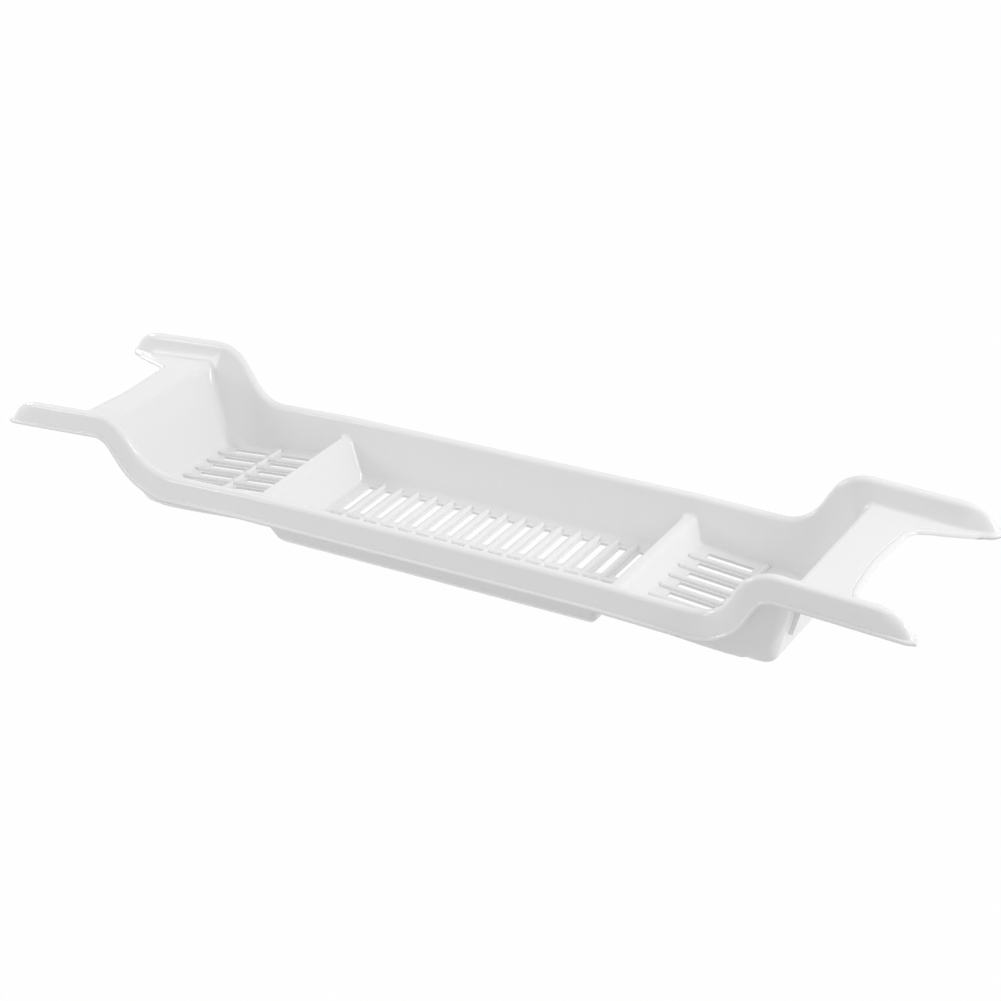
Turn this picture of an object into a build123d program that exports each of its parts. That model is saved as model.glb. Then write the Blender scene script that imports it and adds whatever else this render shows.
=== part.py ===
from build123d import *
import os
from math import cos, radians, sin, tan

os.makedirs("parts", exist_ok=True)

# A bath rack: one plastic moulding that lies across a bath. Lengths are millimetres.
# X runs along the rack, Y across it and Z up. The centre tray's underside is at Z = 0,
# and the rack is symmetric about the planes X = 0 and Y = 0.

# Overall
overall_length = 686.0
wall = 2.1
overrun = 1.0
far_reach = 500.0
seam = 0.1

# Rim: an inverted U that follows a side path
rim_spacing = 124.8
crown_radius = 4.0
crown_height = 39.0
leg_draft = 16.4
shoulder_drop = 10.4
skirt_lip = 1.0

# Side path of the rim's crown: level, a slight fall, an S-bend up, and a drooping arm
rim_end_fall = 2.9
bend_bottom = 214.8
bend_top = 243.6
bend_rise = 40.5
camber_radius = 200.0
bend_bottom_radius = 31.0
bend_top_radius = 20.0
arm_droop = 3.4
toe_length = 18.0
toe_margin = 2.5

# Tray compartments
divider_place = 138.9
divider_top_width = 8.0
divider_drop = 8.7
centre_foot = 122.0
centre_floor_height = 2.1
end_foot_at_divider = 148.0
divider_round = 3.9
divider_foot_radius = 5.0
floor_split = 115.0
row_floor_split = 155.0
end_floor_high = 14.2
end_floor_low = 5.6
end_foot = 242.5
end_wall_top = 261.5
end_floor_middle = 197.0
side_foot_radius = 6.0
corner_radius = 8.0
bend_radius = 4.0
seat_overrun = 1.5
station_count = 18

# Places where the moulding is divided into its named regions
rim_split = 198.0
floor_half_width = 43.0
end_split = 236.5
web_split = 276.0

# Slotted floors
slot_pitch = 14.64
slot_count = 16
slot_width = 6.5
slot_reach = 42.4
land_width = 13.4
row_pitch = 13.29
row_count = 7
row_slot_width = 5.8
row_slot_start = 158.2
row_slot_end = 235.4
slot_corner = 1.0
cross_land_width = 11.7
cross_rib_place = 197.0

# Raised ribs on the floors
rib_width = 4.4
rib_reach = 48.2
cross_rib_reach = 47.5
row_rib_start = 150.6
row_rib_end = 243.0

# Bearing web and arm flanges
web_edge = 295.8
web_hollow = 1.5
notch_half_width = 43.0
flange_tip_half_width = 54.0
notch_radius = 10.0
tip_radius = 9.5
edge_roll = 1.8
plate_start = 256.0
web_curve_radius = 400.0

# Gussets behind the end walls
gusset_thickness = 1.8
gusset_place = 36.0
gusset_foot_height = 22.3
gusset_waist_height = 46.7
gusset_depth = 4.5
gusset_reach = 273.0

# Worked out from the sizes above
half_length = overall_length / 2
crown_y = rim_spacing / 2
skirt_drop = shoulder_drop + wall
leg_slope = tan(radians(leg_draft))
tangent_out = crown_radius * cos(radians(leg_draft))
tangent_up = crown_radius * sin(radians(leg_draft))
rim_end_height = crown_height - rim_end_fall
arm_height = rim_end_height + bend_rise
arm_slope = tan(radians(arm_droop))
shoulder_height = crown_height - shoulder_drop
toe_start = half_length - toe_length - toe_margin
toe_height = arm_height - (toe_start - bend_top) * arm_slope


def leg_reach(drop, inset=0.0):
    """Distance of a rim leg's face from the crown's centre line, at a drop below it."""
    across = inset / cos(radians(leg_draft))
    return tangent_out + (drop + tangent_up) * leg_slope - across


def rim_path():
    """Side path of the crown's centre, from the middle of the rack to the toe."""
    points = [
        (0, crown_y, crown_height),
        (divider_place, crown_y, crown_height),
        (bend_bottom, crown_y, rim_end_height),
        (bend_top, crown_y, arm_height),
        (toe_start, crown_y, toe_height),
    ]
    radii = [camber_radius, bend_bottom_radius, bend_top_radius]
    return FilletPolyline(*points, radius=radii)


def crown_outline(inner_drop, outer_drop, inset, lip):
    """Inverted U as points and an arc, relative to the crown's centre, open below."""
    radius = crown_radius - inset
    out = radius * cos(radians(leg_draft))
    up = radius * sin(radians(leg_draft))
    inner_foot = (-leg_reach(inner_drop, inset), -inner_drop)
    outer_foot = (leg_reach(outer_drop, inset), -outer_drop)
    lines = Line(inner_foot, (-out, up))
    lines += ThreePointArc((-out, up), (0, radius), (out, up))
    if lip:
        lip_top = outer_drop - wall
        lip_edge = leg_reach(outer_drop) + skirt_lip
        lines += Polyline((out, up), (leg_reach(lip_top), -lip_top), (lip_edge, -lip_top), (lip_edge, -outer_drop))
        lines += Line((lip_edge, -outer_drop), inner_foot)
    else:
        lines += Line((out, up), outer_foot)
        lines += Line(outer_foot, inner_foot)
    return make_face(lines)


def on_path_start(face):
    """Stands a flat outline, drawn across and up, at the middle of the rack."""
    return Plane((0, crown_y, crown_height), x_dir=(0, 1, 0), z_dir=(1, 0, 0)) * face


def swept_rim(inner_drop, outer_drop, inset, lip):
    """A rim outline carried along the side path, for the half of the rack at positive X."""
    face = on_path_start(crown_outline(inner_drop, outer_drop, inset, lip))
    return sweep(face, path=rim_path())


def end_floor(x):
    """Height of an end compartment's floor, which falls towards the rack's end."""
    fall = (end_floor_high - end_floor_low) / (end_foot - end_foot_at_divider)
    return end_floor_high - (x - end_foot_at_divider) * fall


def web_top(x):
    """Height of the bearing web's top, a plane that droops with the arms."""
    return arm_height - shoulder_drop / cos(radians(arm_droop)) - (x - bend_top) * arm_slope


def shoulder_points():
    """Line where the rim's inner leg ends on the side wall, offset square to the side path."""
    path = rim_path()
    start = divider_place
    end = path.length - (toe_start - end_wall_top) + corner_radius
    points = []
    for i in range(station_count + 1):
        along = start + (end - start) * i / station_count
        place = path.position_at(along, position_mode=PositionMode.LENGTH)
        heading = path.tangent_at(along, position_mode=PositionMode.LENGTH)
        points.append((place.X + shoulder_drop * heading.Z, place.Z - shoulder_drop * heading.X))
    return points


def tray_section(x, foot, top, floor, thickness):
    """Cross section of the tray's hollow at x, or of its outside for a wall thickness."""
    across = thickness / cos(radians(leg_draft))
    spread = seat_overrun
    right = [
        (x, foot + across, floor - thickness),
        (x, crown_y - leg_reach(shoulder_drop) + across, top),
        (x, crown_y - leg_reach(shoulder_drop) + across + spread, top + spread),
    ]
    left = [(x, -y, z) for x, y, z in reversed(right)]
    return make_face(Polyline(*right, *left, close=True))


def side_foot(top, floor):
    """Half width of the tray's floor where the side wall keeps the rim leg's draft."""
    return crown_y - leg_reach(shoulder_drop) - (top - floor) * leg_slope


def centre_block(thickness):
    """Hollow of the centre tray as a solid, or its outside for a wall thickness."""
    top = crown_height - shoulder_drop
    foot = side_foot(top, centre_floor_height)
    section = tray_section(-divider_place, foot, top, centre_floor_height, thickness)
    return extrude(section, amount=2 * divider_place, dir=(1, 0, 0))


def end_block(thickness):
    """Hollow of the tray from divider to arms as a solid, or its outside for a wall thickness."""
    sections = []
    steady = side_foot(rim_end_height - shoulder_drop, end_floor(end_floor_middle))
    for x, top in shoulder_points():
        foot = max(side_foot(top, end_floor(x)), steady) if x < end_floor_middle else steady
        sections.append(tray_section(x, foot, top, end_floor(x), thickness))
    return loft(sections)


def end_wall_plane(thickness):
    """Inner face of the end wall, or its outer face for a wall thickness, facing outwards."""
    run = end_wall_top - end_foot
    rise = web_top(end_wall_top) - end_floor(end_foot)
    out = Vector(rise, 0, -run).normalized()
    origin = Vector(end_foot, 0, end_floor(end_foot)) + out * thickness
    return Plane(origin, x_dir=(0, 1, 0), z_dir=out)


def rounded_end_block(thickness):
    """End block cut by the end wall's face, with rounded corners and foot."""
    plane = end_wall_plane(thickness)
    block = split(end_block(thickness), bisect_by=plane, keep=Keep.BOTTOM)
    end_face = block.faces().sort_by(Axis.X)[-1]
    corners = [e for e in end_face.edges() if abs((e @ 1 - e @ 0).Z) > end_floor_high]
    block = fillet(corners, corner_radius + thickness)
    base = block.faces().sort_by(Axis.Z)[0]
    start = base.edges().sort_by(Axis.X)[0]
    foot = [e for e in base.edges() if e.center().X > start.center().X + wall]
    return fillet(foot, side_foot_radius + thickness)


def rounded_centre_block(thickness):
    """Centre block with its two long feet rounded."""
    block = centre_block(thickness)
    base = block.faces().sort_by(Axis.Z)[0]
    return fillet(base.edges().filter_by(Axis.X), side_foot_radius + thickness)


def divider_points():
    """Upper line of a divider across the rack, from the centre floor to the end floor."""
    top = crown_height - divider_drop
    half = divider_top_width / 2
    return [
        (floor_split, centre_floor_height),
        (centre_foot, centre_floor_height),
        (divider_place - half, top),
        (divider_place + half, top),
        (end_foot_at_divider, end_floor(end_foot_at_divider)),
        (row_floor_split, end_floor(row_floor_split)),
    ]


def on_side_plane(lines, half_width):
    """Prism from an outline drawn along the rack and up, between two half widths."""
    face = Plane.XZ * make_face(lines)
    return extrude(face, amount=half_width, both=True)


def divider_prism():
    """Divider as a folded sheet of the wall's thickness, over the rack's whole width."""
    radii = [side_foot_radius, divider_round, divider_round, divider_foot_radius]
    upper = FilletPolyline(*divider_points(), radius=radii)
    sheet = offset(upper, amount=wall, side=Side.RIGHT, closed=True)
    return on_side_plane(sheet, crown_y)


def step_prism():
    """Space past the centre tray's end and under the end tray's floor."""
    foot, shoulder = Vector(*divider_points()[1]), Vector(*divider_points()[2])
    heading = (shoulder - foot).normalized()
    start = foot + Vector(heading.Y, -heading.X) * wall
    slope = heading.X / heading.Y
    low = start.X - start.Y * slope
    high = end_floor(divider_place) - wall
    corner = low + high * slope
    edge = FilletPolyline(
        (floor_split, 0),
        (low, 0),
        (corner, end_floor(corner) - wall),
        (row_floor_split, end_floor(row_floor_split) - wall),
        radius=[side_foot_radius + wall, wall],
    )
    rest = Polyline(edge @ 1, (row_floor_split, -far_reach), (floor_split, -far_reach), edge @ 0)
    return on_side_plane(edge + rest, crown_y + far_reach)


def divider_underside():
    """Space under a divider and past the centre tray's end, between the side walls' feet."""
    radii = [side_foot_radius, divider_round, divider_round, divider_foot_radius]
    upper = FilletPolyline(*divider_points(), radius=radii)
    under = offset(upper, amount=wall, side=Side.RIGHT, closed=False)
    start, end = under @ 0, under @ 1
    rest = Polyline(end, (end.X, -far_reach), (start.X, -far_reach), start)
    return on_side_plane(under + rest, side_foot(shoulder_height, end_floor(divider_place)))


def toe_solid(drop, inset, length):
    """Rounded end of an arm: the rim outline turned about an upright line and stretched."""
    radius = crown_radius - inset
    out = radius * cos(radians(leg_draft))
    up = radius * sin(radians(leg_draft))
    lines = Polyline((0, radius), (0, -drop), (leg_reach(drop, inset), -drop), (out, up))
    lines += RadiusArc((out, up), (0, radius), radius)
    turned = revolve(Plane.XZ * make_face(lines), axis=Axis.Z)
    stretch = length / leg_reach(shoulder_drop, inset)
    half = split(scale(turned, by=(stretch, 1, 1)), bisect_by=Plane.YZ, keep=Keep.TOP)
    return Location((toe_start, crown_y, toe_height), (0, arm_droop, 0)) * half


def along(x):
    """Distance in the web's plane of a place given along the rack."""
    return x / cos(radians(arm_droop))


def web_plate():
    """Bearing web with the flanges of both arms, as one plate with a rolled edge."""
    outer = crown_y + leg_reach(skirt_drop) + skirt_lip
    side = [
        (along(plate_start), crown_y),
        (along(toe_start - shoulder_drop * sin(radians(arm_droop))), crown_y),
        (along(toe_start - shoulder_drop * sin(radians(arm_droop))), outer),
        (along(half_length), outer),
        (along(half_length), flange_tip_half_width),
        (along(web_edge + web_hollow), notch_half_width),
    ]
    radii = [0, 0, 0, tip_radius, tip_radius, notch_radius]
    points = side + [(along(web_edge), 0)] + [(x, -y) for x, y in reversed(side)]
    corners = radii + [web_curve_radius] + radii[::-1]
    outline = make_face(FilletPolyline(*points, radius=corners, close=True))
    plane = Plane((0, 0, web_top(0)), x_dir=(1, 0, -arm_slope), z_dir=(arm_slope, 0, 1))
    plate = extrude(plane * outline, amount=-wall)
    top = plate.faces().sort_by(SortBy.AREA)[-2:].sort_by(Axis.Z)[-1]
    rolled = [e for e in top.edges() if e.center().X > web_edge - notch_radius]
    return fillet(rolled, edge_roll)


def slots(places, start, end, width, lengthwise):
    """Straight-through slots with softened corners, one for each place across the row."""
    cutters = []
    for place in places:
        size = (end - start, width) if lengthwise else (width, end - start)
        centre = ((start + end) / 2, place) if lengthwise else (place, (start + end) / 2)
        outline = RectangleRounded(*size, slot_corner)
        cutters.append(extrude(Pos(*centre, 0) * outline, amount=far_reach, both=True))
    return cutters


def round_rib(start, end, up=(0, 0, 1)):
    """Half-round rib lying on the floor between two points, with a ball at each end."""
    line = Line(start, end)
    radius = rib_width / 2
    bar = sweep(Plane(line @ 0, z_dir=line % 0) * Circle(radius), path=line)
    bar += Pos(*(line @ 0)) * Sphere(radius) + Pos(*(line @ 1)) * Sphere(radius)
    return split(bar, bisect_by=Plane(line @ 0, x_dir=line % 0, z_dir=up), keep=Keep.TOP)


def slab(x_low, x_high, y_low, y_high):
    """Tall block between two places along the rack and two across it."""
    size = (x_high - x_low, y_high - y_low)
    outline = Pos((x_low + x_high) / 2, (y_low + y_high) / 2, 0) * Rectangle(*size)
    return extrude(outline, amount=far_reach, both=True)


def slab_above(height, half_width):
    """Block over the whole rack, from a height up and between two half widths."""
    outline = Rectangle(overall_length, 2 * half_width)
    return extrude(Pos(0, 0, height) * outline, amount=far_reach)


def to_left(shape):
    return mirror(shape, about=Plane.YZ)


def to_front(shape):
    return mirror(shape, about=Plane.XZ)


# Rim and arms of the rear right-hand quarter
rim_bar = swept_rim(shoulder_drop, skirt_drop, 0, True)
rim_channel = swept_rim(skirt_drop + overrun, skirt_drop + overrun, wall, False)
toe = toe_solid(skirt_drop, 0, toe_length)
toe_hollow = toe_solid(skirt_drop + overrun, wall, toe_length - wall)
rim_shell = rim_bar - rim_channel
rim_rear = rim_shell & slab(-overrun, rim_split, 0, far_reach)
arm = rim_shell & slab(rim_split, far_reach, 0, far_reach)

# Tray shells, and the plate that carries the arms
bars = rim_bar + to_front(rim_bar)
end_hollow = rounded_end_block(0)
end_tray = rounded_end_block(wall) - end_hollow - bars
above_web = on_side_plane(
    Polyline(
        (end_foot, web_top(end_foot)),
        (half_length, web_top(half_length)),
        (half_length, far_reach),
        (end_foot, far_reach),
        close=True,
    ),
    far_reach,
)
end_tray = end_tray - above_web
hollows = rim_channel + to_front(rim_channel) + toe_hollow + to_front(toe_hollow)
plate = web_plate() - hollows - end_hollow - end_tray
toe_plane = Plane((toe_start, 0, toe_height), x_dir=(0, 1, 0), z_dir=(1, 0, -arm_slope))
toe = (toe - toe_hollow) + (split(plate, bisect_by=toe_plane, keep=Keep.TOP) & slab(0, far_reach, 0, far_reach))
plate = split(plate, bisect_by=toe_plane, keep=Keep.BOTTOM) - arm - to_front(arm)
web = plate & slab(web_split, far_reach, -far_reach, far_reach)
web_root = plate & slab(0, web_split, -far_reach, far_reach)

centre_hollow = rounded_centre_block(0)
centre_tray = rounded_centre_block(wall) - centre_hollow
right_under = divider_underside() + step_prism()
tray = centre_tray + end_tray + to_left(end_tray) - right_under - to_left(right_under) - bars - to_left(bars)
walls = tray & slab(-end_split, end_split, floor_half_width, far_reach)
end_wall = (end_tray & slab(end_split, far_reach, -far_reach, far_reach)) + web_root
bend_line = end_wall.edges().filter_by(Axis.Y).filter_by_position(Axis.Z, web_top(end_wall_top) - seam, far_reach)
bend_line = bend_line.filter_by_position(Axis.X, end_wall_top - seam, end_wall_top + seam)
end_wall = fillet(bend_line, bend_radius)

# Slotted floors
def floor_plate(x_low, x_high):
    """Flat floor between the rounded feet, before its slots are cut."""
    return tray & slab(x_low, x_high, -floor_half_width, floor_half_width)


slot_places = [(i - (slot_count - 1) / 2) * slot_pitch for i in range(slot_count)]
row_places = [(i - (row_count - 1) / 2) * row_pitch for i in range(row_count)]
land_half = land_width / 2
cross_half = cross_land_width / 2
centre_slots = slots(slot_places, land_half, slot_reach, slot_width, False)
centre_slots += slots(slot_places, -slot_reach, -land_half, slot_width, False)
end_slots = slots(row_places, row_slot_start, cross_rib_place - cross_half, row_slot_width, True)
end_slots += slots(row_places, cross_rib_place + cross_half, row_slot_end, row_slot_width, True)
centre_floor = floor_plate(-floor_split, floor_split) - centre_slots
right_floor = floor_plate(row_floor_split, end_split) - end_slots

# Raised ribs, trimmed where they run into the tray
cross_places = [(i - (slot_count - 2) / 2) * slot_pitch for i in range(slot_count - 1)]
row_rib_places = [(i - (row_count - 2) / 2) * row_pitch for i in range(row_count - 1)]
cross_ribs = Part() + [
    round_rib((x, -rib_reach, centre_floor_height), (x, rib_reach, centre_floor_height))
    for x in cross_places
]
spine_reach = slot_places[-1] + slot_width / 2
spine = round_rib((-spine_reach, 0, centre_floor_height), (spine_reach, 0, centre_floor_height)) - cross_ribs
cross_ribs = cross_ribs & centre_hollow
floor_up = (end_floor(0) - end_floor(1), 0, 1)
right_floor_ribs = round_rib(
    (cross_rib_place, -cross_rib_reach, end_floor(cross_rib_place)),
    (cross_rib_place, cross_rib_reach, end_floor(cross_rib_place)),
    floor_up,
)
right_floor_ribs += [
    round_rib((row_rib_start, y, end_floor(row_rib_start)), (row_rib_end, y, end_floor(row_rib_end)), floor_up)
    for y in row_rib_places
]

# Dividers, folded over the gap between two trays
between_walls = end_hollow + centre_hollow + slab_above(shoulder_height, crown_y)
between_walls += slab(-floor_split, row_floor_split, -floor_half_width, floor_half_width)
right_divider = (divider_prism() & between_walls) - walls - to_front(walls) - bars
right_floor_ribs = (right_floor_ribs & end_hollow) - right_divider

# Gussets between an end wall and the underside of its web
wall_face = end_wall_plane(wall)
face_slope = (end_wall_top - end_foot) / (web_top(end_wall_top) - end_floor(end_foot))


def wall_face_place(height):
    """Where the end wall's outer face stands at a height."""
    return wall_face.origin.X + (height - wall_face.origin.Z) * face_slope


gusset_outline = Polyline(
    (wall_face_place(gusset_foot_height) - wall, gusset_foot_height),
    (wall_face_place(gusset_foot_height) + gusset_depth, gusset_foot_height),
    (wall_face_place(gusset_waist_height) + gusset_depth, gusset_waist_height),
    (gusset_reach, web_top(gusset_reach) - wall / 2),
    (end_wall_top + wall, web_top(end_wall_top) - wall / 2),
    close=True,
)
gusset = extrude(Plane.XZ * make_face(gusset_outline), amount=gusset_thickness / 2, both=True)
right_gussets = Pos(0, gusset_place, 0) * gusset + Pos(0, -gusset_place, 0) * gusset
right_gussets = right_gussets - end_hollow - end_wall - web

right = {
    "divider": right_divider,
    "floor": right_floor,
    "floor_ribs": right_floor_ribs,
    "end_wall": end_wall,
    "web": web,
    "gussets": right_gussets,
}
nodes = {
    "rear_rim": rim_rear + to_left(rim_rear),
    "front_rim": to_front(rim_rear + to_left(rim_rear)),
    "rear_wall": walls,
    "front_wall": to_front(walls),
    "centre_floor": centre_floor,
    "centre_cross_ribs": cross_ribs,
    "centre_spine": spine,
}
for name, shape in right.items():
    nodes["right_" + name] = shape
    nodes["left_" + name] = to_left(shape)
for name, shape in {"arm": arm, "toe": toe}.items():
    nodes["right_rear_" + name] = shape
    nodes["right_front_" + name] = to_front(shape)
    nodes["left_rear_" + name] = to_left(shape)
    nodes["left_front_" + name] = Rot(0, 0, 180) * shape
for name, shape in nodes.items():
    export_step(shape, "parts/" + name + ".step")
    print(name, len(shape.solids()), round(shape.volume), shape.is_valid)
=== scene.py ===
# %% [markdown]
# # A one-piece bath rack in gloss white plastic
#
# The real object is one injection moulding: a sheet of white polypropylene, about 2 mm thick
# everywhere, that is folded into a slotted tray, a hollow rim, four arms and two rests.
# The solids already hold its size and its flat, slotted floors. What they lack is the
# softness of a moulding, where every wall runs into the next on a round. So this scene keeps
# the flat solids and works the curved sheet out again as one surface, then cuts it into the
# same named regions.

import bpy
import numpy as np
from mathutils import Matrix, Vector


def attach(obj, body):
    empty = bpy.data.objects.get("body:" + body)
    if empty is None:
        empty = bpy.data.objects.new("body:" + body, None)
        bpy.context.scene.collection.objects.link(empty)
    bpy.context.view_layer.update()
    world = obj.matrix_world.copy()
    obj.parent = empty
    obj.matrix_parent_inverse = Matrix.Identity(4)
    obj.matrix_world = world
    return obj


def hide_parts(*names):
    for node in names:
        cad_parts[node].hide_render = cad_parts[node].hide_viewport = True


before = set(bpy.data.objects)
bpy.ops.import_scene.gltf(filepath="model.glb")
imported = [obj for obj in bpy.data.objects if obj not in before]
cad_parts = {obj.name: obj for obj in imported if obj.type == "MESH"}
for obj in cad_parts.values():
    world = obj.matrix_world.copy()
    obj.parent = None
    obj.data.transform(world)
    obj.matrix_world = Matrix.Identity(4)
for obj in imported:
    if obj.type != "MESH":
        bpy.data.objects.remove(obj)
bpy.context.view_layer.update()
MM = 0.001
print("nodes in the frame:", len(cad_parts))

# %% [markdown]
# ## The sizes of the moulding
#
# A mould maker would give the sheet by two lines in its side view and one section. The crown
# line is the path of the rim's rounded top: level over the tray, an S-bend up, then an arm
# that droops a little. The bed line is the tray seen from the side: centre floor, divider, end
# floor, end wall and bearing web. Seen from above, the crowns of the arms stand a little wider
# than the rim's, so there the outer leg is steeper.
#
# The rack is the same about both of its middle planes, so a place along or across it is a
# distance from the middle, and a height is measured from the table. Lengths are millimetres,
# as on the drawing.

# %% The rim's section
WALL = 2.1
CROWN_Y = 62.4
CROWN_RADIUS = 4.0
DRAFT = np.radians(16.4)
SHOULDER_DROP = 10.4
SKIRT_EDGE = 71.4
print("the rack is", 2 * SKIRT_EDGE, "mm wide over the rim's skirts")

# %% Along the crown line
RIM_HEIGHT = 39.0
DIP_START = 138.9
BEND_LOW = 219.7
BEND_LOW_HEIGHT = 36.1
BEND_TOP = 245.2
ARM_HEIGHT = 76.5
DROOP = np.tan(np.radians(3.4))
CROWN_ROUNDS = [200, 34, 26]
TOE_START = 318.3
TOE_RADIUS = 26.0
HALF_LENGTH = 344.6
print("the rack is", 2 * HALF_LENGTH, "mm long over the toes")

# %% Along the bed line
FLOOR_HEIGHT = 2.1
DIVIDER_FOOT = 122.0
DIVIDER_TOP = (134.9, 142.9)
DIVIDER_HEIGHT = 30.3
END_START = 148.0
END_START_HEIGHT = 14.2
END_LOW = 242.5
END_LOW_HEIGHT = 5.6
END_FOOT = 245.0
END_WALL_TOP = 261.5
BED_ROUNDS = [3, 3.9, 3.9, 5, 7, 4]
print("the end floors fall", round(END_START_HEIGHT - END_LOW_HEIGHT, 1), "mm towards the ends")

# %% Where the named regions meet
FLOOR_HALF_WIDTH = 43.0
CENTRE_SPLIT = 115.0
ROW_SPLIT = 155.0
RIM_SPLIT = 198.0
END_SPLIT = 236.5
WEB_SPLIT = 276.0
splits = (CENTRE_SPLIT, ROW_SPLIT, RIM_SPLIT, END_SPLIT, WEB_SPLIT)
print("split planes at", splits, "mm from the middle")


# %% Heights of the straight runs
def arm_line(x):
    """Height of the crown's centre along an arm."""
    return ARM_HEIGHT - (x - BEND_TOP) * DROOP


def web_line(x):
    """Height of the bearing web's top, a plane parallel to the arms."""
    return arm_line(x) - SHOULDER_DROP * np.sqrt(1 + DROOP**2)


def end_floor(x):
    """Height of the end compartment's floor, a straight fall between two known heights."""
    fall = (END_START_HEIGHT - END_LOW_HEIGHT) / (END_LOW - END_START)
    return END_START_HEIGHT - (x - END_START) * fall


print("the arms start at", ARM_HEIGHT, "mm and reach the toes at", round(arm_line(TOE_START), 1))


# %% A line with rounded corners
def rounded_line(points, radii, step=5.0):
    """Points on a line whose corners are arcs, with a chord for about every step degrees.

    An arc of radius r at a corner that turns by t touches both runs r tan(t / 2) from the
    corner, and its centre lies r / cos(t / 2) from it, on the inside of the turn.
    """
    points = np.asarray(points, float)
    parts = [points[:1]]
    for place, radius in enumerate(radii, start=1):
        back = points[place - 1] - points[place]
        on = points[place + 1] - points[place]
        back /= np.linalg.norm(back)
        on /= np.linalg.norm(on)
        turn = np.pi - np.arccos(np.clip(back @ on, -1, 1))
        inward = (back + on) / np.linalg.norm(back + on)
        centre = points[place] + inward * radius / np.cos(turn / 2)
        start = points[place] + back * radius * np.tan(turn / 2) - centre
        end = points[place] + on * radius * np.tan(turn / 2) - centre
        share = np.linspace(0, 1, 2 + int(np.degrees(turn) / step))[:, None]
        swing = np.sin((1 - share) * turn) * start + np.sin(share * turn) * end
        parts.append(centre + swing / np.sin(turn))
    parts.append(points[-1:])
    return np.concatenate(parts)


# %% The two lines of the side view
LINE_START = -60.0
LINE_END = 370.0
crown_line = rounded_line(
    [
        (LINE_START, RIM_HEIGHT),
        (DIP_START, RIM_HEIGHT),
        (BEND_LOW, BEND_LOW_HEIGHT),
        (BEND_TOP, ARM_HEIGHT),
        (LINE_END, arm_line(LINE_END)),
    ],
    CROWN_ROUNDS,
)
bed_line = rounded_line(
    [
        (LINE_START, FLOOR_HEIGHT),
        (DIVIDER_FOOT, FLOOR_HEIGHT),
        (DIVIDER_TOP[0], DIVIDER_HEIGHT),
        (DIVIDER_TOP[1], DIVIDER_HEIGHT),
        (END_START, end_floor(END_START)),
        (END_FOOT, end_floor(END_FOOT)),
        (END_WALL_TOP, web_line(END_WALL_TOP)),
        (LINE_END, web_line(LINE_END)),
    ],
    BED_ROUNDS,
)
print("crown line:", len(crown_line), "points, bed line:", len(bed_line))

# %% [markdown]
# ## One distance for the whole sheet
#
# A sheet whose walls all have draft, so that it can leave its mould, is never undercut: over
# each place on the plan it has one height. That height is found from a distance. Each form
# (the rim, the tray's bed) is a solid with a known distance to its surface, and two solids
# are joined with a round of radius r by a formula for the fillet between them. The surface is
# where the joined distance is nought.


# %% Distances
def height_over(line, x, z):
    """Distance of places from a line in the side view, positive above it.

    It is the least distance to any run of the line, with the sign of the cross product of
    the run and the way to the place.
    """
    best = np.full(x.shape, 1e9)
    side = np.ones(x.shape)
    for (x0, z0), (x1, z1) in zip(line[:-1], line[1:]):
        dx, dz = x1 - x0, z1 - z0
        share = np.clip(((x - x0) * dx + (z - z0) * dz) / (dx * dx + dz * dz), 0, 1)
        out_x = x - x0 - share * dx
        out_z = z - z0 - share * dz
        distance = np.hypot(out_x, out_z)
        nearer = distance < best
        best = np.where(nearer, distance, best)
        side = np.where(nearer, np.where(dx * out_z - dz * out_x < 0, -1.0, 1.0), side)
    return best * side


def rim_distance(across, above):
    """Distance from an inverted U: a round top of CROWN_RADIUS on two legs with draft.

    Above the tangent points the nearest place is on the round, and below them it is on
    the flat leg, whose normal is turned up from level by the draft.
    """
    leg = across * np.cos(DRAFT) + above * np.sin(DRAFT) - CROWN_RADIUS
    top = np.hypot(across, above) - CROWN_RADIUS
    return np.where(above * np.cos(DRAFT) > across * np.sin(DRAFT), top, leg)


def joined(a, b, radius):
    """Distance from two solids joined by a fillet of a radius."""
    corner = np.hypot(np.maximum(radius - a, 0), np.maximum(radius - b, 0))
    return np.maximum(radius, np.minimum(a, b)) - corner


# %% [markdown]
# ## The toes
#
# At its end each arm rounds over and falls to the bath. The crown falls on an arc there. The
# sheet needs no new form for it: a place past the toe's start counts as lying further from the
# crown line, by just as much as makes the rim's own section fall as far.

# %% A place along a toe, and back
UPRIGHT_GAP = 0.05  # the arc stops this far before it stands upright


def toe_reach(x):
    """Distance from the crown line that a place along a toe counts as.

    The toe's crown falls on an arc of TOE_RADIUS, by R - sqrt(R^2 - d^2) at d past its start.
    The place counts as the distance at which the rim's section has fallen as far: on its
    round sqrt(2 r f - f^2) for a fall f, and then along the leg.
    """
    past = np.clip(x - TOE_START, 0, TOE_RADIUS - UPRIGHT_GAP)
    fall = TOE_RADIUS - np.sqrt(TOE_RADIUS**2 - past**2)
    on_round = np.sqrt(np.maximum(2 * CROWN_RADIUS * fall - fall * fall, 0))
    on_leg = (CROWN_RADIUS - (CROWN_RADIUS - fall) * np.sin(DRAFT)) / np.cos(DRAFT)
    return np.where(fall < CROWN_RADIUS * (1 - np.sin(DRAFT)), on_round, on_leg)


def toe_place(reach):
    """The place along a toe that counts as a distance: toe_reach turned round."""
    on_round = CROWN_RADIUS - np.sqrt(np.maximum(CROWN_RADIUS**2 - reach**2, 0))
    on_leg = CROWN_RADIUS - (CROWN_RADIUS - reach * np.cos(DRAFT)) / np.sin(DRAFT)
    fall = np.where(reach < CROWN_RADIUS * np.cos(DRAFT), on_round, on_leg)
    return TOE_START + np.sqrt(np.maximum(TOE_RADIUS**2 - (TOE_RADIUS - fall) ** 2, 0))


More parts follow.
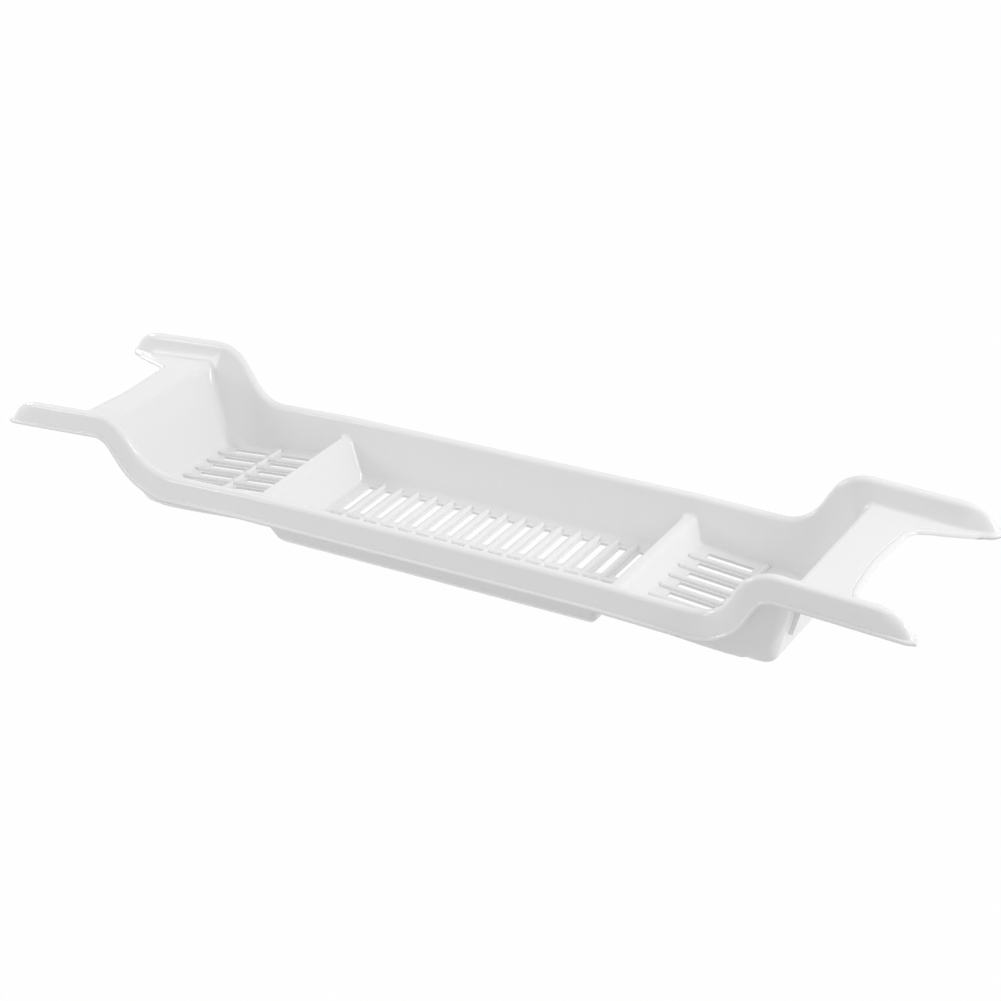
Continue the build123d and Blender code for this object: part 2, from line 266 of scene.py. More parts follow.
# %% The height of the sheet
# Pairs of a distance from the middle and the radius between rim and bed there.
FILLETS = [(0, 2), (232, 2), (242, 3.5), (254, 3.5), (264, 2.5), (300, 2), (322, 1.2), (350, 1.2)]
LIP_FILLET = 0.6  # between the outer leg and the lip at the skirt's edge
LOWEST, HIGHEST = -5.0, 95.0  # the sheet lies between these heights
HALVINGS = 22


def forms(x, y, z, bed):
    """The distances of places from the rim and the bed. Outside the crown the bed is the lip."""
    across = np.hypot(toe_reach(x), y - CROWN_Y)
    above = height_over(crown_line, x, z)
    inside = height_over(bed, x, z)
    return rim_distance(across, above), np.where(y < CROWN_Y, inside, above + SHOULDER_DROP)


def sheet_height(x, y, bed=bed_line):
    """Height of the sheet's top over places on the plan, by halving an interval."""
    x, y = np.asarray(x, float), np.asarray(y, float)
    fillet = np.where(y < CROWN_Y, np.interp(x, *np.transpose(FILLETS)), LIP_FILLET)
    low, high = np.full(x.shape, LOWEST), np.full(x.shape, HIGHEST)
    for _ in range(HALVINGS):
        middle = (low + high) / 2
        within = joined(*forms(x, y, middle, bed), fillet) < 0
        low, high = np.where(within, middle, low), np.where(within, high, middle)
    return (low + high) / 2


crowns = sheet_height([0, BEND_TOP + 20], [CROWN_Y, CROWN_Y]).round(2)
print("top of the rim at", crowns[0], "and of an arm's start at", crowns[1])

# %% [markdown]
# ## The sheet's outline on the plan
#
# The rests end in a shallow notch between two rounded toes. The edge is rolled down: 2.6 mm
# round the notch, where a hand or a hose meets it, and hardly at all along the skirt. So the
# grid of the sheet stops one roll short of the outline, and a band follows round it. A soft
# crease runs just inside the rolled edge of the notch.

# %% The outline's corners
OUTLINE_START = -1.0  # across: a little past the middle
OUTLINE_END = 300.0  # along: the skirt runs on straight from here
NOTCH = 292.6
NOTCH_FLAT = 6.0
NOTCH_CORNER = (296.3, 43.0)
TIP_INNER_Y = 56.5
OUTLINE_ROUNDS = [200, 12, 8.5, 7.2]
edge_points = rounded_line(
    [
        (NOTCH, OUTLINE_START),
        (NOTCH, NOTCH_FLAT),
        NOTCH_CORNER,
        (HALF_LENGTH, TIP_INNER_Y),
        (HALF_LENGTH, SKIRT_EDGE),
        (OUTLINE_END, SKIRT_EDGE),
    ],
    OUTLINE_ROUNDS,
    step=4.0,
)
print("corners of the outline:", len(edge_points), "points")

# %% Outline at even steps
WEB_ROLL = 2.6
SKIRT_ROLL = 0.8
ROLL_FADE = (56.0, 70.0)  # across these the roll goes from the web's to the skirt's
SMOOTHED = 9  # headings in one mean
OUTLINE_STEPS = 1600


def eased(value, start, end):
    """A smooth step from 0 at the start to 1 at the end: 3 s^2 - 2 s^3 of the share s."""
    share = np.clip((value - start) / (end - start), 0, 1)
    return share * share * (3 - 2 * share)


def outline():
    """The outline at even steps: places, outward normals and the roll's radius there."""
    runs = np.diff(edge_points, axis=0)
    length = np.concatenate([[0], np.cumsum(np.hypot(*runs.T))])
    steps = np.linspace(0, length[-1], OUTLINE_STEPS)
    place = np.stack([np.interp(steps, length, edge_points[:, i]) for i in (0, 1)], 1)
    heading = np.gradient(place, axis=0)
    kernel = np.ones(SMOOTHED) / SMOOTHED
    padded = np.pad(heading, ((SMOOTHED // 2, SMOOTHED // 2), (0, 0)), mode="edge")
    heading = np.stack([np.convolve(padded[:, i], kernel, "valid") for i in (0, 1)], 1)
    heading /= np.linalg.norm(heading, axis=1)[:, None]
    normal = np.stack([-heading[:, 1], heading[:, 0]], 1)
    roll = WEB_ROLL + (SKIRT_ROLL - WEB_ROLL) * eased(place[:, 1], *ROLL_FADE)
    return place, normal, roll


edge, edge_normal, edge_roll = outline()
inner_edge = edge + edge_normal * edge_roll[:, None]

# %% Where the notch ends and the toe starts
NOTCH_END = 306.5
notch_end = int(np.argmax(edge[:, 0] > NOTCH_END))
toe_first = int(np.argmax(inner_edge[:, 0] > TOE_START))
toe_last = int(len(edge) - np.argmax(inner_edge[::-1, 0] > TOE_START))
print("notch ends at", inner_edge[notch_end].round(2))
print("toe from", inner_edge[toe_first].round(2), "to", inner_edge[toe_last - 1].round(2))

# %% [markdown]
# ## Grids over the plan
#
# The grid's lines are closest where the sheet bends most: ten columns over the crown's round,
# half a millimetre along the S-bend and the end wall, and wide steps over what is flat. The
# tray, the web, the arm's two sides and the toe are separate grids that share their edges.


# %% Grid lines across the rack
def grid_line(stops, cells):
    """Places from stop to stop, with a number of even cells between each two."""
    runs = zip(stops[:-1], stops[1:], cells)
    return np.concatenate([stops[:1], *(np.linspace(a, b, n + 1)[1:] for a, b, n in runs)])


LEG_LOW = 6.3  # outside this the lines are closer, over the leg's foot and the lip
ROW_GAP = 0.2  # the web's last two rows are never closer than this
crown_steps = CROWN_RADIUS * np.sin(np.linspace(0, np.pi / 2 - DRAFT, 11))
row_end = inner_edge[notch_end, 1]
in_steps = np.append(crown_steps, grid_line([crown_steps[-1], CROWN_Y - row_end], [22])[1:])
skirt_step = SKIRT_EDGE - SKIRT_ROLL - CROWN_Y
out_steps = np.append(crown_steps, grid_line([crown_steps[-1], LEG_LOW, skirt_step], [8, 14])[1:])
flat_rows = [0, 6, 12, 18, 24, 29, 33, 35]
foot_rows = [36.8, 38.4, 39.8, 41, 42, FLOOR_HALF_WIDTH, 43.8, 44.5, 45.1]
web_rows = np.array(flat_rows + foot_rows)
web_rows = np.append(web_rows[web_rows < row_end - ROW_GAP], row_end)
print("lines across the web:", len(web_rows))
print("lines inside and outside the crown:", len(in_steps), len(out_steps))

# %% Grid lines along the tray
BEND_GRID = 207.0  # the fine lines of the S-bend start here
SHOULDER_GRID = 266.0  # and end here, past the end wall
WEB_GRID = 270.0
tray_columns = grid_line(
    [0, CENTRE_SPLIT, ROW_SPLIT, RIM_SPLIT, BEND_GRID, END_SPLIT, SHOULDER_GRID, WEB_GRID],
    [16, 60, 10, 4, 49, 59, 3],
)
print("tray grid:", len(tray_columns), "x", len(web_rows) + len(in_steps) + len(out_steps) - 2)


# %% Grids of the tray and the web
def edge_x(y):
    """Where the rolled edge starts along a row of the web."""
    notch = inner_edge[: notch_end + 1]
    return np.interp(y, notch[:, 1], notch[:, 0])


def edge_y(x):
    """Where the rolled edge starts beside an arm."""
    arm = inner_edge[notch_end : toe_first + 1]
    return np.interp(x, arm[:, 0], arm[:, 1])


tray_rows = np.concatenate([web_rows, CROWN_Y - in_steps[::-1][1:], CROWN_Y + out_steps[1:]])
tray = np.stack(np.meshgrid(tray_columns, tray_rows, indexing="ij"), -1)

# The web's first lines are straight, as far as its split plane, and the others lean over
# bit by bit until the last one follows the notch.
web_lead = WEB_SPLIT - WEB_GRID
web_lines = grid_line([0, web_lead, 18, 26], [4, 6, 32])[:, None]
web_share = (web_lines - web_lead) / (web_lines[-1] - web_lead)
web_reach = edge_x(web_rows)[None, :] - WEB_SPLIT
web_x = np.where(web_lines <= web_lead, WEB_GRID + web_lines, WEB_SPLIT + web_share * web_reach)
web = np.stack([web_x, np.broadcast_to(web_rows, web_x.shape)], -1)
print("web grid:", web.shape[0], "x", web.shape[1])

# %% Grids of the arm's two sides
# Rows near the crown stay level, and those further in spread out to meet the toe's edge.
ARM_KEPT = 10.0
arm_x = np.concatenate([web[:, -1, 0], np.linspace(web[-1, -1, 0], TOE_START, 10)[1:]])
arm_low = np.concatenate([np.full(len(web), row_end), edge_y(arm_x[len(web) :])])
spread = (in_steps - ARM_KEPT) / (in_steps[-1] - ARM_KEPT)
moved_in = CROWN_Y - ARM_KEPT - spread * (CROWN_Y - ARM_KEPT - arm_low[:, None])
arm_in = np.where(in_steps < ARM_KEPT, CROWN_Y - in_steps, moved_in)
arm_inner = np.stack([np.broadcast_to(arm_x[:, None], arm_in.shape), arm_in], -1)[:, ::-1]
arm_outer = np.stack(np.meshgrid(arm_x, CROWN_Y + out_steps, indexing="ij"), -1)
print("arm grids:", arm_inner.shape[:2], "and", arm_outer.shape[:2])

# %% Grid of the toe
# It is worked out in the plan of toe_reach and the distance across, where the toe's section
# is a set of rings round the crown's end, and is turned back into places on the real plan.
TOE_RAYS = 33
toe_places = np.linspace(toe_first, toe_last - 1, TOE_RAYS).astype(int)[1:-1]
toe_rim = np.concatenate([[arm_inner[-1, 0]], inner_edge[toe_places], [arm_outer[-1, -1]]])
toe_way = np.stack([toe_reach(toe_rim[:, 0]), toe_rim[:, 1] - CROWN_Y], 1)
toe_far = np.linalg.norm(toe_way, axis=1)
in_rings = CROWN_Y - arm_inner[-1, ::-1, 1]
in_weight = (in_rings - crown_steps[-1]) / (toe_far[0] - crown_steps[-1])
out_weight = (out_steps - crown_steps[-1]) / (toe_far[-1] - crown_steps[-1])
mix = np.linspace(0, 1, len(toe_rim))[:, None]
weight = (1 - mix) * in_weight + mix * out_weight
ring = crown_steps[-1] + weight * (toe_far[:, None] - crown_steps[-1])
ring[:, : len(crown_steps)] = crown_steps
toe = toe_way[:, None, :] * (ring / toe_far[:, None])[..., None]
toe = np.stack([toe_place(toe[..., 0]), CROWN_Y + toe[..., 1]], -1)
print("toe grid:", toe.shape[:2])

# %% [markdown]
# ## From grids to one closed quarter
#
# Each grid gets its heights from the distance, its cells become two triangles, and the band
# round the outline is added: a quarter round carried along the edge. The rack is the same in
# all four quarters, so one quarter is made and turned over about its middle planes.


# %% Triangles of a grid
def grid_triangles(rows, columns):
    """Two triangles for each cell of a grid of rows x columns points."""
    number = np.arange(rows * columns).reshape(rows, columns)
    a, b, c, d = number[:-1, :-1], number[1:, :-1], number[1:, 1:], number[:-1, 1:]
    halves = [np.stack(three, -1).reshape(-1, 3) for three in ((a, b, c), (a, c, d))]
    return np.concatenate(halves)


def upward(points, triangles):
    """Turns each triangle so that it faces up."""
    a, b, c = (points[triangles[:, i]] for i in range(3))
    down = np.cross(b - a, c - a)[:, 2] < 0
    triangles[down] = triangles[down][:, ::-1]
    return triangles


# %% The crease in the web
CREASE_DEPTH = 0.45
CREASE_IN = 1.3
CREASE_WIDTH = 0.55
CREASE_START = (284.0, 288.0)  # it deepens between these along the rack
CREASE_END = (56.0, 50.0)  # and between these across it
notch_edge = inner_edge[: notch_end + 40 : 4]


def crease(x, y):
    """Depth of the crease: a bell curve of the distance from the rolled edge's start."""
    away = np.hypot(x[..., None] - notch_edge[:, 0], y[..., None] - notch_edge[:, 1]).min(-1)
    bell = np.exp(-(((away - CREASE_IN) / CREASE_WIDTH) ** 2))
    return CREASE_DEPTH * bell * eased(x, *CREASE_START) * eased(y, *CREASE_END)


# %% The quarter's grids with their heights
quarter_points, quarter_triangles = [], []
count = 0
for plan in (tray, web, arm_inner, arm_outer, toe):
    rows, columns = plan.shape[:2]
    height = sheet_height(plan[..., 0], plan[..., 1]) - crease(plan[..., 0], plan[..., 1])
    points = np.concatenate([plan, height[..., None]], -1).reshape(-1, 3)
    quarter_triangles.append(upward(points, grid_triangles(rows, columns)) + count)
    quarter_points.append(points)
    count += len(points)
print("quarter of the sheet:", count, "points")


# %% Places along the rolled edge
def nearest(values, wanted):
    """Index of the value nearest to each wanted one."""
    return np.abs(values[None, :] - wanted[:, None]).argmin(1)


def unit(ways):
    """Ways scaled to a length of one."""
    return ways / np.linalg.norm(ways, axis=1)[:, None]


base = np.concatenate([
    web[-1],
    arm_inner[len(web) : -1, 0],
    toe_rim,
    arm_outer[:-1, -1][::-1],
    tray[:-1, -1][::-1],
])
along_notch = nearest(inner_edge[: notch_end + 1, 1], web_rows)
along_arm = notch_end + nearest(inner_edge[notch_end:toe_first, 0], arm_x[len(web) : -1])
index = np.concatenate([along_notch, along_arm, [toe_first], toe_places, [toe_last - 1]])
beside = len(base) - len(index)  # places along the skirt, where the edge is straight
out = np.concatenate([-edge_normal[index], np.tile([0.0, 1.0], (beside, 1))])
roll = np.concatenate([edge_roll[index], np.full(beside, SKIRT_ROLL)])
print("places round the edge:", len(base), "of which along the skirt:", beside)

# %% The rolled band
# Each place swings a quarter round down from the sheet's own slope. Round the notch the under
# side swings about the same centre. Along the skirt the roll is less than the wall, so there
# the under side runs straight on to the edge.
SLOPE_STEP = 0.02
ROLL_TURN = np.radians(86)
x, y = base.T
rise_x = sheet_height(x + SLOPE_STEP, y) - sheet_height(x - SLOPE_STEP, y)
rise_y = sheet_height(x, y + SLOPE_STEP) - sheet_height(x, y - SLOPE_STEP)
up = unit(np.stack([-rise_x, -rise_y, np.full(len(base), 2 * SLOPE_STEP)], 1))
outward = np.concatenate([out, np.zeros((len(base), 1))], 1)
outward = unit(outward - up * (outward * up).sum(1)[:, None])
start = np.concatenate([base, sheet_height(x, y)[:, None]], 1)
turn = np.linspace(0, ROLL_TURN, 8)
swing, sink = np.sin(turn)[None, :, None], (1 - np.cos(turn))[None, :, None]
top_band = start[:, None] + roll[:, None, None] * (outward[:, None] * swing - up[:, None] * sink)
rolled = ((roll - SKIRT_ROLL) / (WEB_ROLL - SKIRT_ROLL))[:, None, None]
low_sink = rolled * (WEB_ROLL - WALL)
low_reach = SKIRT_ROLL + rolled * (WEB_ROLL - WALL - SKIRT_ROLL)
low_start = (start - up * WALL)[:, None]
low_band = low_start + outward[:, None] * low_reach * swing - up[:, None] * low_sink * sink
quarter_points.append(top_band.reshape(-1, 3))
quarter_triangles.append(upward(quarter_points[-1], grid_triangles(len(base), len(turn))) + count)
print("rolled band:", len(quarter_points[-1]), "points")

# %% Four quarters joined
quarter_points = np.concatenate(quarter_points)
quarter_triangles = np.concatenate(quarter_triangles)
quarter_low = np.full(quarter_points.shape, np.nan)
quarter_low[count:] = low_band.reshape(-1, 3)
tops, lows, faces = [], [], []
for flip_x in (1, -1):
    for flip_y in (1, -1):
        turned = quarter_triangles + len(tops) * len(quarter_points)
        faces.append(turned if flip_x * flip_y > 0 else turned[:, ::-1])
        tops.append(quarter_points * [flip_x, flip_y, 1])
        lows.append(quarter_low * [flip_x, flip_y, 1])
upright, low, faces = np.concatenate(tops), np.concatenate(lows), np.concatenate(faces)
_, first, same = np.unique(np.round(upright, 3), axis=0, return_index=True, return_inverse=True)
upright, low, faces = upright[first], low[first], same.reshape(-1)[faces]
a, b, c = faces.T
faces = faces[(a != b) & (b != c) & (c != a)]
print("sheet:", len(upright), "points,", len(faces), "triangles")

# %% [markdown]
# ## The arms stand wider
#
# So far each arm's crown lies in line with the rim's. On the real rack the crowns step out by
# about 4 mm over the S-bend, while the web and the skirt's edge stay nearly where they are.
# Moving points of the finished sheet does this without another form.

# %% Moving the arms outwards
ARM_SPREAD = 3.9
SPREAD_ALONG = (205.7, 241.2)  # over the S-bend
SPREAD_INSIDE = (45.0, 59.0)  # from the web's edge to near the crown
SPREAD_OUTSIDE = (65.2, 70.8)  # from near the crown to the skirt's edge
EDGE_LOSS = 0.78  # share of the spread that the skirt's edge doesn't get


def spread_out(points):
    """Moves the arms outwards: all of ARM_SPREAD at the crown, little at the skirt's edge."""
    x, y = np.abs(points[:, 0]), np.abs(points[:, 1])
    outside = 1 - EDGE_LOSS * eased(y, *SPREAD_OUTSIDE)
    weight = np.where(y < CROWN_Y, eased(y, *SPREAD_INSIDE), outside)
    moved = points.copy()
    moved[:, 1] += np.sign(points[:, 1]) * ARM_SPREAD * eased(x, *SPREAD_ALONG) * weight
    return moved


top, low = spread_out(upright), spread_out(low)
print("furthest move:", np.abs(top - upright).max().round(2), "mm")


# %% Normals and the under side
def point_normals(points, triangles):
    """Normal at each point: the sum of its triangles' normals, weighted by their areas."""
    a, b, c = (points[triangles[:, i]] for i in range(3))
    face = np.cross(b - a, c - a)
    total = np.zeros(points.shape)
    for i in range(3):
        np.add.at(total, triangles[:, i], face)
    return total / np.maximum(np.linalg.norm(total, axis=1), 1e-12)[:, None]


normal = point_normals(top, faces)
plain = np.isnan(low[:, 0])
low[plain] = (top - normal * WALL)[plain]
low_normal = -point_normals(low, faces)
print("under side:", plain.sum(), "points from the wall,", (~plain).sum(), "from the band")

# %% [markdown]
# ## Cutting the sheet into its named regions
#
# The solids keep each region of the moulding in a node of its own, and so does this sheet:
# a triangle belongs to the rim, an arm, a wall, a divider and so on by where its middle lay
# before the arms were moved out. Each region is closed into a solid of the wall's thickness.
# Its points keep the normals of the whole sheet, so that light runs over the cuts as over one
# moulding.

# %% Which region a triangle is in
RIM_INNER_REACH = 7.7  # the rim's inner leg ends this far from the crown
RIM_FOOT = 0.4  # and this far over the shoulder


def region_names(middle):
    """The node that each triangle stands for, from its middle."""
    x, y, z = np.abs(middle[:, 0]), np.abs(middle[:, 1]), middle[:, 2]
    rim, bed = forms(x, y, z, bed_line)
    above = height_over(crown_line, x, z)
    on_inner_leg = (above > RIM_FOOT - SHOULDER_DROP) & (y > CROWN_Y - RIM_INNER_REACH)
    on_rim = (y > CROWN_Y) | on_inner_leg
    name = np.full(len(x), "floor", dtype=object)
    name[(y > FLOOR_HALF_WIDTH) & (x < END_SPLIT)] = "wall"
    in_divider = (x > CENTRE_SPLIT) & (x < ROW_SPLIT)
    name[in_divider & ((y < FLOOR_HALF_WIDTH) | (bed < rim))] = "divider"
    name[(x > END_SPLIT) & (x < WEB_SPLIT)] = "end_wall"
    name[x > WEB_SPLIT] = "web"
    name[on_rim & (x < RIM_SPLIT)] = "rim"
    name[on_rim & (x > RIM_SPLIT)] = "arm"
    name[x > TOE_START] = "toe"
    side = np.where(middle[:, 0] > 0, "right_", "left_").astype(object)
    row = np.where(middle[:, 1] > 0, "rear_", "front_").astype(object)
    full = np.where(np.isin(name, ["rim", "wall"]), row + name, side + name)
    return np.where(np.isin(name, ["arm", "toe"]), side + row + name, full)


names = region_names(upright[faces].mean(1))
regions = sorted(set(n for n in names if not n.endswith("floor")))
print("regions:", regions)

# %% [markdown]
# ## The side walls' feet under the dividers
#
# A divider is a fold in the tray's floor, open below. The side walls run on past both ends
# of that fold and close it, so each wall has a short plate there that hangs under the
# divider's ends. It is the same sheet with the bed line of the wall's foot in place of the
# divider's: the centre floor steps straight up to the end floor. Only the part that hangs
# clear of the divider is kept.

# %% Wall plates under the dividers
STEP_FOOT = 127.9
STEP_ROUNDS = [3, 4]
PLATE_CLEAR = 0.7
step_line = rounded_line(
    [
        (LINE_START, FLOOR_HEIGHT),
        (DIVIDER_FOOT, FLOOR_HEIGHT),
        (STEP_FOOT, end_floor(STEP_FOOT)),
        (LINE_END, end_floor(LINE_END)),
    ],
    STEP_ROUNDS,
)
plate_columns = np.linspace(CENTRE_SPLIT + 1, ROW_SPLIT - 1, 58)
plate_rows = grid_line([45, 50, 50.6, 56.6], [10, 1, 10])
plate_x, plate_y = np.meshgrid(plate_columns, plate_rows, indexing="ij")
plate_top = sheet_height(plate_x, plate_y, step_line)
hangs = sheet_height(plate_x, plate_y) - plate_top > PLATE_CLEAR
plate_points = np.stack([plate_x, plate_y, plate_top], -1).reshape(-1, 3)
plate_faces = upward(plate_points, grid_triangles(*plate_x.shape))
plate_faces = plate_faces[hangs.reshape(-1)[plate_faces].all(1)]
plate_normal = point_normals(plate_points, plate_faces)
print("wall plate:", len(plate_faces), "triangles on each side")


# %% Closed sheets as meshes
def closed_sheet(upper, lower, upper_normal, lower_normal, triangles):
    """Closes a sheet between its two sides.

    An edge that only one triangle has is on the border, and gets two triangles that join
    the sides there. Returns points, triangles and a normal for every corner, where nought
    means the flat normal of its own triangle.
    """
    used, local = np.unique(triangles, return_inverse=True)
    local = local.reshape(-1, 3)
    count = len(used)
    sides = np.concatenate([local[:, [0, 1]], local[:, [1, 2]], local[:, [2, 0]]])
    key = np.sort(sides, 1)
    _, where, times = np.unique(key, axis=0, return_inverse=True, return_counts=True)
    a, b = sides[times[where.reshape(-1)] == 1].T
    halves = [(b, a, a + count), (b, a + count, b + count)]
    strip = np.concatenate([np.stack(three, 1) for three in halves])
    everything = np.concatenate([local, local[:, ::-1] + count, strip])
    points = np.concatenate([upper[used], lower[used]])
    normals = np.concatenate([upper_normal[used], lower_normal[used]])
    corner = normals[everything]
    corner[2 * len(local) :] = 0
    return points, everything, corner


def with_plates(shape, side):
    """A side wall with its plates under both dividers: side is 1 at the rear, -1 in front."""
    parts = [shape]
    for end in (1, -1):
        flip = np.array([end, side, 1])
        turned = plate_faces if end * side > 0 else plate_faces[:, ::-1]
        upper, facing = plate_points * flip, plate_normal * flip
        parts.append(closed_sheet(upper, upper - facing * WALL, facing, -facing, turned))
    points, triangles, corners = zip(*parts)
    starts = np.cumsum([0] + [len(p) for p in points[:-1]])
    triangles = [t + n for t, n in zip(triangles, starts)]
    return np.concatenate(points), np.concatenate(triangles), np.concatenate(corners)


def add_mesh(name, points, triangles, corner):
    """Makes a mesh object in metres from millimetre points, with its corner normals."""
    mesh = bpy.data.meshes.new(name)
    mesh.vertices.add(len(points))
    mesh.loops.add(triangles.size)
    mesh.polygons.add(len(triangles))
    mesh.vertices.foreach_set("co", (points * MM).ravel())
    mesh.loops.foreach_set("vertex_index", triangles.ravel().astype(np.int32))
    mesh.polygons.foreach_set("loop_start", np.arange(0, triangles.size, 3, dtype=np.int32))
    mesh.update(calc_edges=True)
    mesh.polygons.foreach_set("use_smooth", np.ones(len(triangles), bool))
    mesh.normals_split_custom_set(corner.reshape(-1, 3).tolist())
    piece = bpy.data.objects.new(name, mesh)
    bpy.context.scene.collection.objects.link(piece)
    return piece


# %% [markdown]
# ## The plastic
#
# The rack is moulded polypropylene, gloss: opaque white, a little soft to light, with a
# polished mould's shine. Polypropylene's index of refraction is about 1.49. Up close the
# shine is not a perfect mirror: the sheet sinks and swells by hundredths of a millimetre as
# it cools, which bends the highlights over 20 to 40 mm, and the polished steel leaves a fine
# haze. Those two are the noise patterns here. The real haze is finer than a pixel of the
# picture, so it is drawn 2.5 mm wide.


# %% Colour and node helpers
def linear(code):
    """An sRGB hex colour as linear red, green, blue and alpha."""
    share = np.array([int(code[i : i + 2], 16) for i in (1, 3, 5)]) / 255
    value = np.where(share <= 0.04045, share / 12.92, ((share + 0.055) / 1.055) ** 2.4)
    return (*value, 1.0)


def add_node(tree, kind, settings=None, inputs=None):
    """Adds a node: settings are its properties, inputs its sockets' values or links."""
    node = tree.nodes.new(kind)
    for name, value in (settings or {}).items():
        setattr(node, name, value)
    for name, value in (inputs or {}).items():
        if isinstance(value, bpy.types.NodeSocket):
            tree.links.new(value, node.inputs[name])
        else:
            node.inputs[name].default_value = value
    return node


def empty_tree(owner):
    """The node tree of a material or a world, with nothing in it yet."""
    owner.use_nodes = True
    owner.node_tree.nodes.clear()
    return owner.node_tree


# %% Moulded polypropylene
SINK_WIDTH = 30 * MM
SINK_DEPTH = 0.06 * MM
HAZE_WIDTH = 2.5 * MM
plastic = bpy.data.materials.new("moulded polypropylene, gloss white")
tree = empty_tree(plastic)
place = add_node(tree, "ShaderNodeTexCoord").outputs["Object"]
sink_look = {"Vector": place, "Scale": 1 / SINK_WIDTH, "Detail": 2.0, "Roughness": 0.4}
sink = add_node(tree, "ShaderNodeTexNoise", inputs=sink_look).outputs["Fac"]
haze_look = {"Vector": place, "Scale": 1 / HAZE_WIDTH, "Detail": 3.0}
haze = add_node(tree, "ShaderNodeTexNoise", inputs=haze_look).outputs["Fac"]
rough_look = {"Value": haze, "To Min": 0.09, "To Max": 0.14}
rough = add_node(tree, "ShaderNodeMapRange", inputs=rough_look)
bump_look = {"Height": sink, "Distance": SINK_DEPTH, "Strength": 0.5}
bump = add_node(tree, "ShaderNodeBump", inputs=bump_look)
tint_look = {"Factor": haze, "A": linear("#EFEFEF"), "B": linear("#F3F3F3")}
tint = add_node(tree, "ShaderNodeMix", {"data_type": "RGBA"}, tint_look)
shader = add_node(
    tree,
    "ShaderNodeBsdfPrincipled",
    inputs={
        "Base Color": tint.outputs["Result"],
        "Roughness": rough.outputs["Result"],
        "IOR": 1.49,
        "Normal": bump.outputs["Normal"],
    },
)
add_node(tree, "ShaderNodeOutputMaterial", inputs={"Surface": shader.outputs["BSDF"]})
print("material:", plastic.name)

# %% Regions of the sheet
for region in regions:
    shape = closed_sheet(top, low, normal, low_normal, faces[names == region])
    if region in ("front_wall", "rear_wall"):
        shape = with_plates(shape, 1 if region == "rear_wall" else -1)
    piece = add_mesh(region + "_sheet", *shape)
    piece.data.materials.append(plastic)
    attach(piece, "root")
    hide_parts(region)
    print(piece.name, len(shape[1]), "triangles")

# %% The flat solids in the same plastic
for name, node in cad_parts.items():
    if name not in regions:
        node.data.materials.clear()
        node.data.materials.append(plastic)
        print(name, "keeps its solid")

# %% [markdown]
# ## Floor, light and camera
#
# The rack was shot as a catalogue cut-out, pure white all round. A thin strip light hangs
# above and behind it, for the bright lines along the rounds. A strong soft box stands at the
# right, a weaker one at the left, and a faint one at the front left. The sky is brightest
# above and behind, so the skirts that face the camera are a tone darker. The floor works like
# a light table: it is white to the camera and to reflections, and to other rays it glows in
# part, so it lights the rack from below and still takes a faint shadow.

# %% Floor
FLOOR_REACH = 6.0
FLOOR_GAP = 0.0002  # the floor lies this far below the tray, so that they never share a plane
corners = [(x * FLOOR_REACH, y * FLOOR_REACH, 0) for x, y in ((-1, -1), (1, -1), (1, 1), (-1, 1))]
floor_mesh = bpy.data.meshes.new("floor")
floor_mesh.from_pydata(corners, [], [(0, 1, 2, 3)])
floor = bpy.data.objects.new("floor", floor_mesh)
floor.location.z = -FLOOR_GAP
bpy.context.scene.collection.objects.link(floor)
white = bpy.data.materials.new("white paper, matt")
floor.data.materials.append(white)

# %% The floor's paper and glow
GLOW_SEEN = 0.985  # share of the glow for the camera and for reflections
GLOW_ELSE = 0.4
tree = empty_tree(white)
paper = add_node(tree, "ShaderNodeBsdfDiffuse", inputs={"Color": linear("#BEBEBE")})
glow = add_node(tree, "ShaderNodeEmission", inputs={"Color": (1, 1, 1, 1), "Strength": 1.0})
seen = add_node(tree, "ShaderNodeLightPath").outputs
either = add_node(
    tree,
    "ShaderNodeMath",
    {"operation": "MAXIMUM"},
    {0: seen["Is Camera Ray"], 1: seen["Is Glossy Ray"]},
)
share = add_node(
    tree,
    "ShaderNodeMapRange",
    inputs={"Value": either.outputs[0], "To Min": GLOW_ELSE, "To Max": GLOW_SEEN},
)
layers = {0: share.outputs[0], 1: paper.outputs[0], 2: glow.outputs[0]}
mixed = add_node(tree, "ShaderNodeMixShader", inputs=layers)
add_node(tree, "ShaderNodeOutputMaterial", inputs={"Surface": mixed.outputs[0]})
print("floor:", round(2 * FLOOR_REACH, 1), "m square")

# %% World
# A way's tilt is how far it points to BRIGHTEST, and the sky grows brighter with it.
BRIGHTEST = (0.18, 0.46, 0.87)
TILT_RANGE = (-0.4, 1.0)
SKY_RANGE = (0.51, 0.78)
world = bpy.data.worlds.new("studio")
bpy.context.scene.world = world
tree = empty_tree(world)
seen = add_node(tree, "ShaderNodeLightPath").outputs
either = add_node(
    tree,
    "ShaderNodeMath",
    {"operation": "MAXIMUM"},
    {0: seen["Is Camera Ray"], 1: seen["Is Transmission Ray"]},
)
way = add_node(tree, "ShaderNodeTexCoord").outputs["Generated"]
tilt = add_node(
    tree,
    "ShaderNodeVectorMath",
    {"operation": "DOT_PRODUCT"},
    {0: way, 1: BRIGHTEST},
)
ranges = dict(zip(("From Min", "From Max", "To Min", "To Max"), TILT_RANGE + SKY_RANGE))
soft = add_node(tree, "ShaderNodeMapRange", inputs={"Value": tilt.outputs["Value"], **ranges})
strength = add_node(
    tree,
    "ShaderNodeMapRange",
    inputs={"Value": either.outputs[0], "To Min": soft.outputs["Result"], "To Max": 1.0},
)
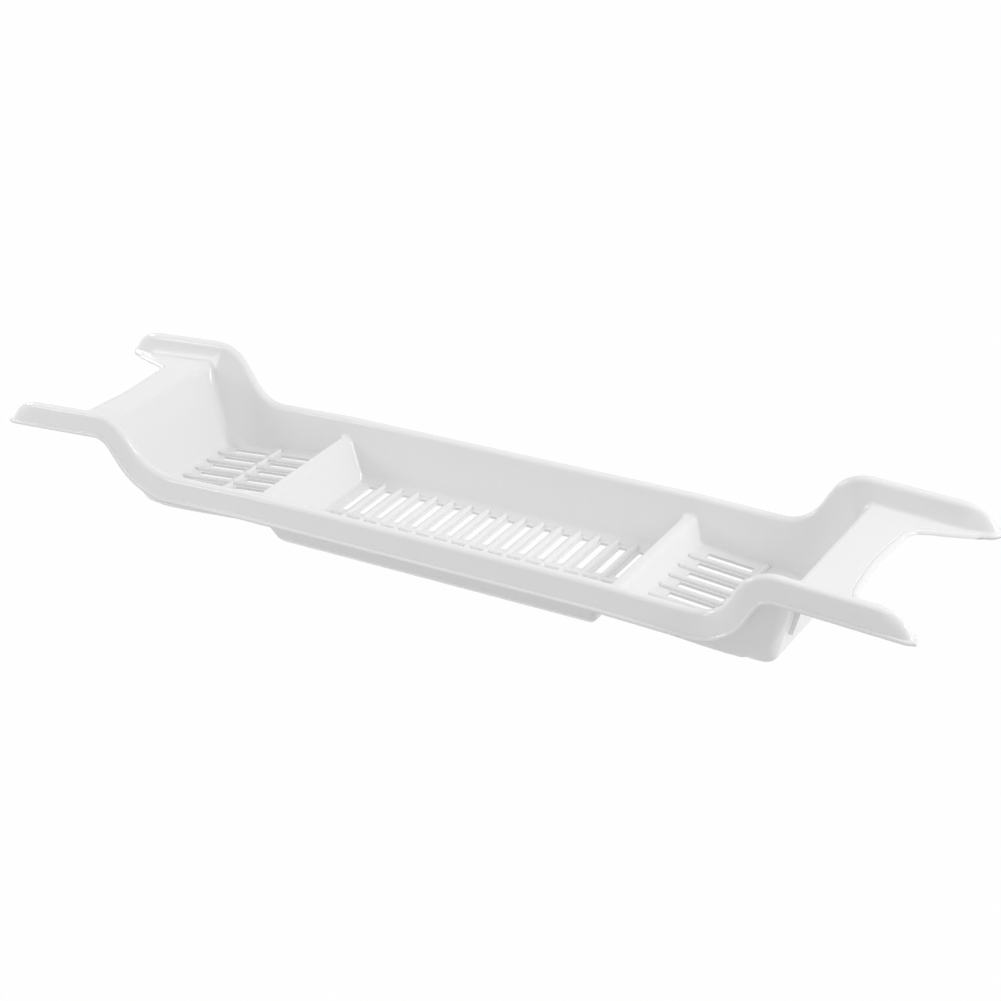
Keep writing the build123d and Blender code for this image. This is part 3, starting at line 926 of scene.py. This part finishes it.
sky_look = {"Color": (1, 1, 1, 1), "Strength": strength.outputs["Result"]}
sky = add_node(tree, "ShaderNodeBackground", inputs=sky_look)
add_node(tree, "ShaderNodeOutputWorld", inputs={"Surface": sky.outputs[0]})
print("sky from", SKY_RANGE[0], "to", SKY_RANGE[1])


# %% Lamps
def area_lamp(name, place, aim, size, power):
    """A rectangular soft box at a place, turned to an aim point. Metres and watts."""
    light = bpy.data.lights.new(name, "AREA")
    light.shape = "RECTANGLE"
    light.size, light.size_y = size
    light.energy = power
    lamp = bpy.data.objects.new(name, light)
    lamp.location = place
    lamp.rotation_euler = (Vector(aim) - Vector(place)).to_track_quat("-Z", "Y").to_euler()
    bpy.context.scene.collection.objects.link(lamp)
    print(name, power, "W")


RACK = (0, 0, 0.03)
LEFT_BEND = (-0.25, 0, 0.03)
area_lamp("strip light above", (0.15, 0.55, 1.5), RACK, (1.8, 0.06), 2.0)
area_lamp("soft box right", (1.7, 0.1, 0.9), RACK, (0.5, 0.5), 10.0)
area_lamp("soft box left", (-1.5, 0.1, 0.7), RACK, (0.5, 0.5), 5.0)
area_lamp("soft box front left", (-0.95, -0.75, 0.4), LEFT_BEND, (0.4, 0.4), 1.7)

# %% Camera
# Its place, its three directions and its focal length in pixels are those that put points of
# the rack where the picture, which is 1001 pixels wide, has them.
PICTURE_WIDTH = 1001
FOCAL_PIXELS = 2008.631
view = bpy.data.cameras.new("camera")
view.sensor_width = 36.0
view.lens = view.sensor_width * FOCAL_PIXELS / PICTURE_WIDTH
right = Vector((0.84285, 0.53365, -0.06950))
above = Vector((-0.19937, 0.42959, 0.88075))
forward = Vector((-0.49986, 0.72848, -0.46847))
turned = Matrix((right, above, -forward)).transposed().to_4x4()
camera = bpy.data.objects.new("camera", view)
camera.matrix_world = Matrix.Translation((0.68543, -0.957318, 0.658944)) @ turned
bpy.context.scene.collection.objects.link(camera)
bpy.context.scene.camera = camera
bpy.context.scene.view_settings.view_transform = "Standard"
print("lens:", round(view.lens, 2), "mm")
